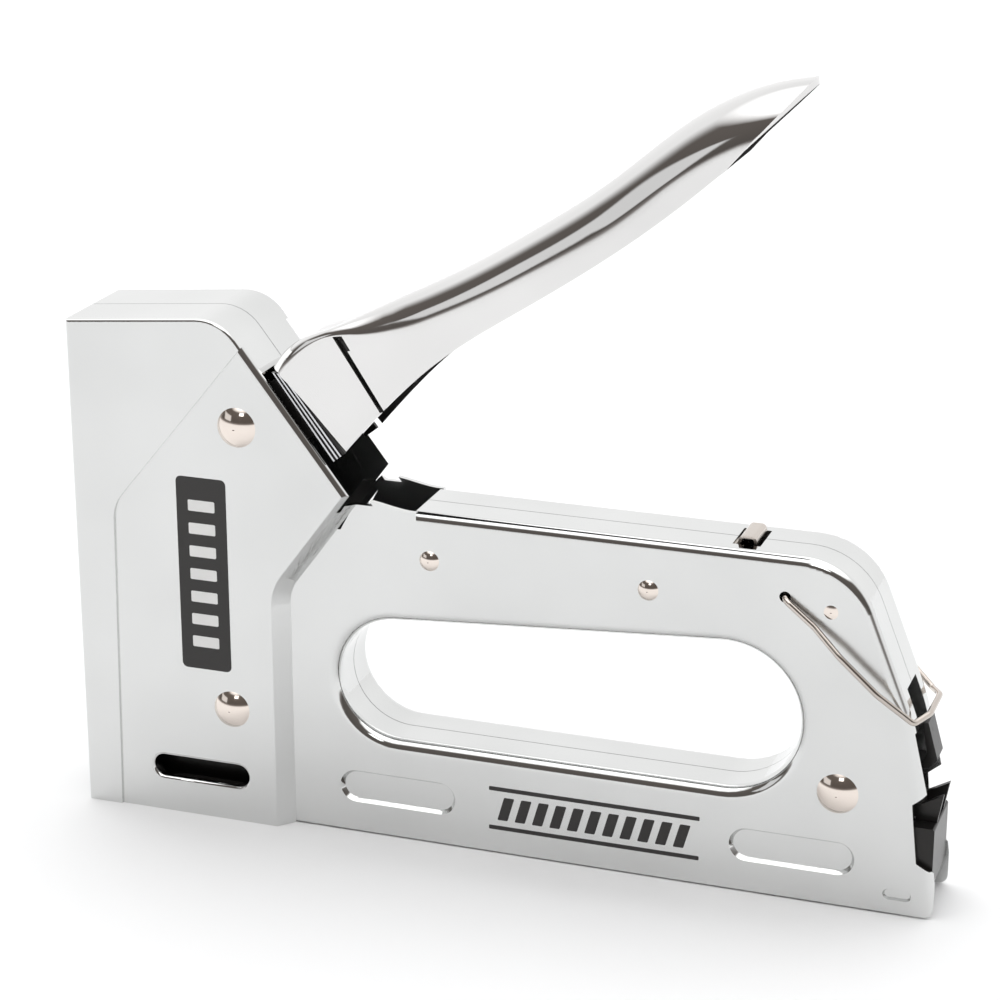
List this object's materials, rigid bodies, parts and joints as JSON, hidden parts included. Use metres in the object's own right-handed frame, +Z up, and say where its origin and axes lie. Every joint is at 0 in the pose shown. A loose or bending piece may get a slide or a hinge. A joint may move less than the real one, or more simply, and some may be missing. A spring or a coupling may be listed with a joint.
{
  "type": "staple gun",
  "caption": "Hand-squeezed staple gun with a stamped chrome casing, finger opening, squeeze lever, sprung hammer, base magazine with pull-out pusher and a wire lock bail.",
  "frame": {"origin": "on the ground, midway along the tool and midway across it", "axes": "+X from the nose to the rear, +Y across the tool, +Z up"},
  "size_m": [0.19, 0.0282, 0.1707],
  "materials": {
    "chrome_shell": "satin chrome plate",
    "lever_chrome": "polished chrome plate",
    "rivet_nickel": "polished nickel plate",
    "black_oxide": "black oxide, oiled",
    "tool_steel": "ground",
    "spring_steel": "drawn wire, bright",
    "zinc_plate": "bright zinc plate",
    "staple_wire": "galvanised wire",
    "rubber": "matte"
  },
  "bodies": {
    "frame": {"left_shell": "chrome_shell", "right_shell": "chrome_shell", "pivot_rivet": "rivet_nickel", "pivot_bushing": "tool_steel", "pivot_washers": "black_oxide", "head_rivet": "rivet_nickel", "head_spacer": "tool_steel", "rear_rivet": "rivet_nickel", "handle_rivets": "rivet_nickel", "handle_spacers": "tool_steel", "spacer_pin": "rivet_nickel", "lever_spring": "spring_steel", "latch_spring": "spring_steel", "main_spring": "spring_steel", "spring_seat": "tool_steel", "bumper": "rubber", "bumper_bracket": "black_oxide", "hammer_guide": "black_oxide", "nose_plate": "tool_steel", "blade_guide": "tool_steel", "magazine_channel": "black_oxide", "staple_rail": "tool_steel", "staple_strip": "staple_wire", "stop_tab": "spring_steel"},
    "lever": {"lever": "lever_chrome", "lever_arm": "black_oxide"},
    "hammer": {"hammer": "tool_steel", "driver_blade": "tool_steel"},
    "bail": {"lock_bail": "spring_steel"},
    "latch": {"latch_lever": "black_oxide"},
    "pusher": {"pusher_rod": "zinc_plate", "pusher_handle": "black_oxide", "pusher_spring": "spring_steel"},
    "follower": {"follower": "zinc_plate"}
  },
  "joints": [
    {"name": "lever_hinge", "type": "hinge", "parent": "frame", "child": "lever", "pos_m": [-0.05625, 0, 0.0913], "axis": [0, 1, 0], "range_deg": [0, 35], "stiffness_Nm_per_rad": 3, "springref_deg": -17.19, "deforming": ["lever_spring"]},
    {"name": "hammer_slide", "type": "slide", "parent": "frame", "child": "hammer", "axis": [0, 0, 1], "range_m": [0, 0.016], "deforming": ["main_spring"]},
    {"name": "bail_hinge", "type": "hinge", "parent": "frame", "child": "bail", "pos_m": [0.06175, 0, 0.067], "axis": [0, -1, 0], "range_deg": [0, 88]},
    {"name": "latch_hinge", "type": "hinge", "parent": "frame", "child": "latch", "pos_m": [0.07415, 0, 0.0255], "axis": [0, -1, 0], "range_deg": [0, 12], "stiffness_Nm_per_rad": 0.3, "springref_deg": -11.46, "deforming": ["latch_spring"]},
    {"name": "pusher_slide", "type": "slide", "parent": "frame", "child": "pusher", "axis": [1, 0, 0], "range_m": [0, 0.11]},
    {"name": "follower_slide", "type": "slide", "parent": "pusher", "child": "follower", "axis": [1, 0, 0], "range_m": [0, 0.05], "stiffness_N_per_m": 60, "springref_m": -0.05, "deforming": ["pusher_spring"]}
  ],
  "couplings": [
    {"joint": "hammer_slide", "follows": "lever_hinge", "m_per_rad": 0.0256}
  ]
}
